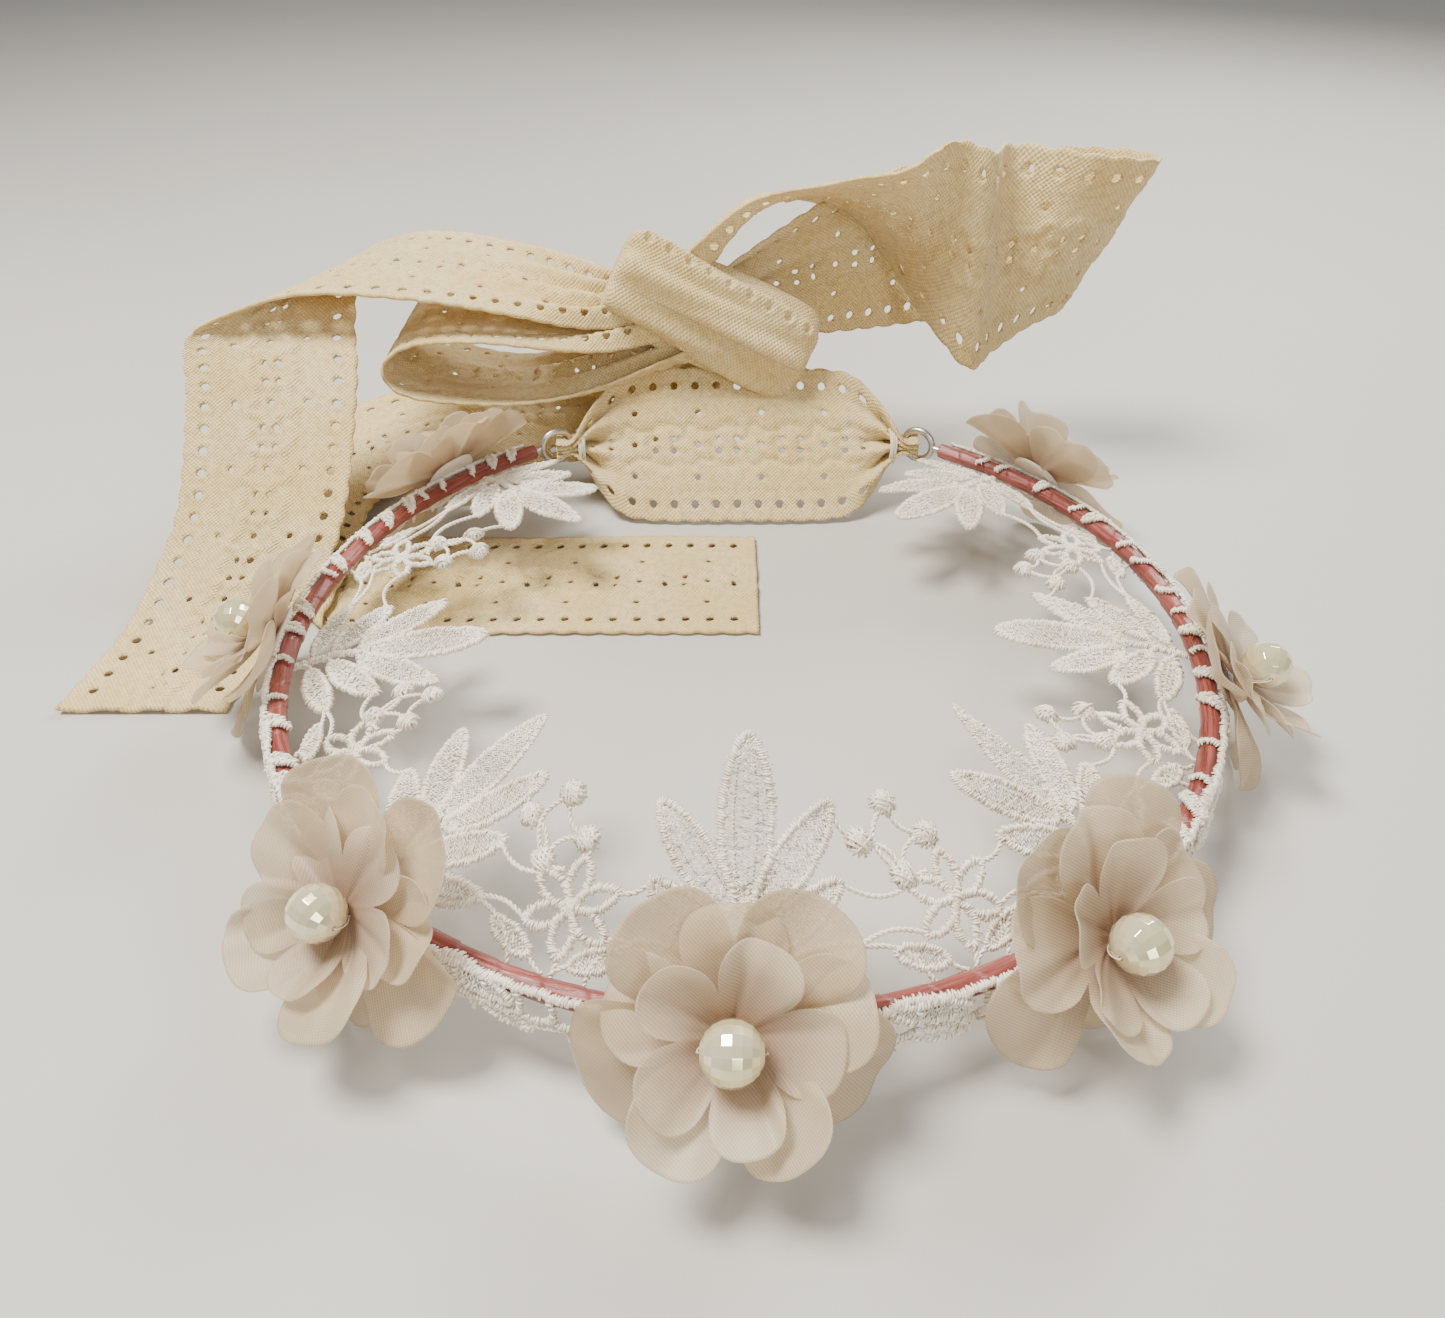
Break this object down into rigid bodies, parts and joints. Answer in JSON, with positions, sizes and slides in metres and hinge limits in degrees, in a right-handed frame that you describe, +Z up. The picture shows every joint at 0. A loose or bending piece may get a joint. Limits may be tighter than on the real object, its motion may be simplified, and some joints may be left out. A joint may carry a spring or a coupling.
{
  "type": "flower crown",
  "caption": "Wire headband open at the back, with a leaning lace trim, organza flowers with faceted pearls and a cotton lace ribbon tied in a bow.",
  "frame": {"origin": "centre of the band's ring, in the plane of the core wire", "axes": "+Z up, towards the tips of the lace; -Y towards the front flower; +X to the right as the crown is seen from the front"},
  "size_m": [0.2259, 0.2113, 0.0798],
  "materials": {
    "wire": "drawn wire, satin",
    "satin_tape": "satin tape, wound",
    "embroidered_lace": "glossy embroidery thread",
    "felt": "pressed felt",
    "organza_blush": "sheer organza with a soft sheen",
    "organza_pale": "sheer organza with a soft sheen",
    "thread": "sewing thread",
    "pearl": "faceted, pearl coated",
    "cotton_lace_ribbon": "matte cotton bobbin lace"
  },
  "bodies": {
    "crown": {"band_wire": "wire", "band_wrap": "satin_tape", "lace_heading": "embroidered_lace", "lace_spray_front": "embroidered_lace", "lace_spray_front_left": "embroidered_lace", "lace_spray_front_right": "embroidered_lace", "lace_spray_left": "embroidered_lace", "lace_spray_right": "embroidered_lace", "lace_spray_back_left": "embroidered_lace", "lace_spray_back_right": "embroidered_lace", "lace_blossom_front_left": "embroidered_lace", "lace_blossom_front_right": "embroidered_lace", "lace_blossom_left": "embroidered_lace", "lace_blossom_right": "embroidered_lace", "lace_blossom_back_left": "embroidered_lace", "lace_blossom_back_right": "embroidered_lace", "flower_pads": "felt", "petals_lower_front": "organza_blush", "petals_lower_front_left": "organza_blush", "petals_lower_front_right": "organza_blush", "petals_lower_left": "organza_blush", "petals_lower_right": "organza_blush", "petals_lower_back_left": "organza_blush", "petals_lower_back_right": "organza_blush", "petals_middle_front": "organza_pale", "petals_middle_front_left": "organza_pale", "petals_middle_front_right": "organza_pale", "petals_middle_left": "organza_pale", "petals_middle_right": "organza_pale", "petals_middle_back_left": "organza_pale", "petals_middle_back_right": "organza_pale", "petals_upper_front": "organza_pale", "petals_upper_front_left": "organza_pale", "petals_upper_front_right": "organza_pale", "petals_upper_left": "organza_pale", "petals_upper_right": "organza_pale", "petals_upper_back_left": "organza_pale", "petals_upper_back_right": "organza_pale", "pearl_threads": "thread", "tie_ribbon": "cotton_lace_ribbon", "end_bindings": "thread", "bow_knot": "cotton_lace_ribbon", "bow_loop_left": "cotton_lace_ribbon", "bow_loop_right": "cotton_lace_ribbon", "ribbon_tail_inner": "cotton_lace_ribbon"},
    "pearl_front": {"pearl_front": "pearl"},
    "pearl_front_left": {"pearl_front_left": "pearl"},
    "pearl_front_right": {"pearl_front_right": "pearl"},
    "pearl_left": {"pearl_left": "pearl"},
    "pearl_right": {"pearl_right": "pearl"},
    "pearl_back_left": {"pearl_back_left": "pearl"},
    "pearl_back_right": {"pearl_back_right": "pearl"},
    "tail_left": {"ribbon_tail_left": "cotton_lace_ribbon"}
  },
  "joints": [
    {"name": "pearl_front_turn", "type": "hinge", "parent": "crown", "child": "pearl_front", "pos_m": [-0.00237, -0.09048, 0.00582], "axis": [0.9997, -0.0262, 0], "continuous": true},
    {"name": "pearl_front_left_turn", "type": "hinge", "parent": "crown", "child": "pearl_front_left", "pos_m": [-0.05696, -0.07034, 0.00582], "axis": [0.7771, -0.6293, 0], "continuous": true},
    {"name": "pearl_front_right_turn", "type": "hinge", "parent": "crown", "child": "pearl_front_right", "pos_m": [0.04995, -0.07547, 0.00582], "axis": [0.8339, 0.5519, 0], "continuous": true},
    {"name": "pearl_left_turn", "type": "hinge", "parent": "crown", "child": "pearl_left", "pos_m": [-0.09029, -0.00631, 0.00582], "axis": [0.0698, -0.9976, 0], "continuous": true},
    {"name": "pearl_right_turn", "type": "hinge", "parent": "crown", "child": "pearl_right", "pos_m": [0.08836, -0.01959, 0.00582], "axis": [0.2164, 0.9763, 0], "continuous": true},
    {"name": "pearl_back_left_turn", "type": "hinge", "parent": "crown", "child": "pearl_back_left", "pos_m": [-0.06933, 0.05818, 0.00582], "axis": [-0.6428, -0.766, 0], "continuous": true},
    {"name": "pearl_back_right_turn", "type": "hinge", "parent": "crown", "child": "pearl_back_right", "pos_m": [0.07132, 0.05572, 0.00582], "axis": [-0.6157, 0.788, 0], "continuous": true},
    {"name": "ribbon_tail_left_lift", "type": "hinge", "parent": "crown", "child": "tail_left", "pos_m": [-0.0324, 0.0845, 0.0305], "axis": [0, 1, 0], "range_deg": [0, 60]}
  ]
}
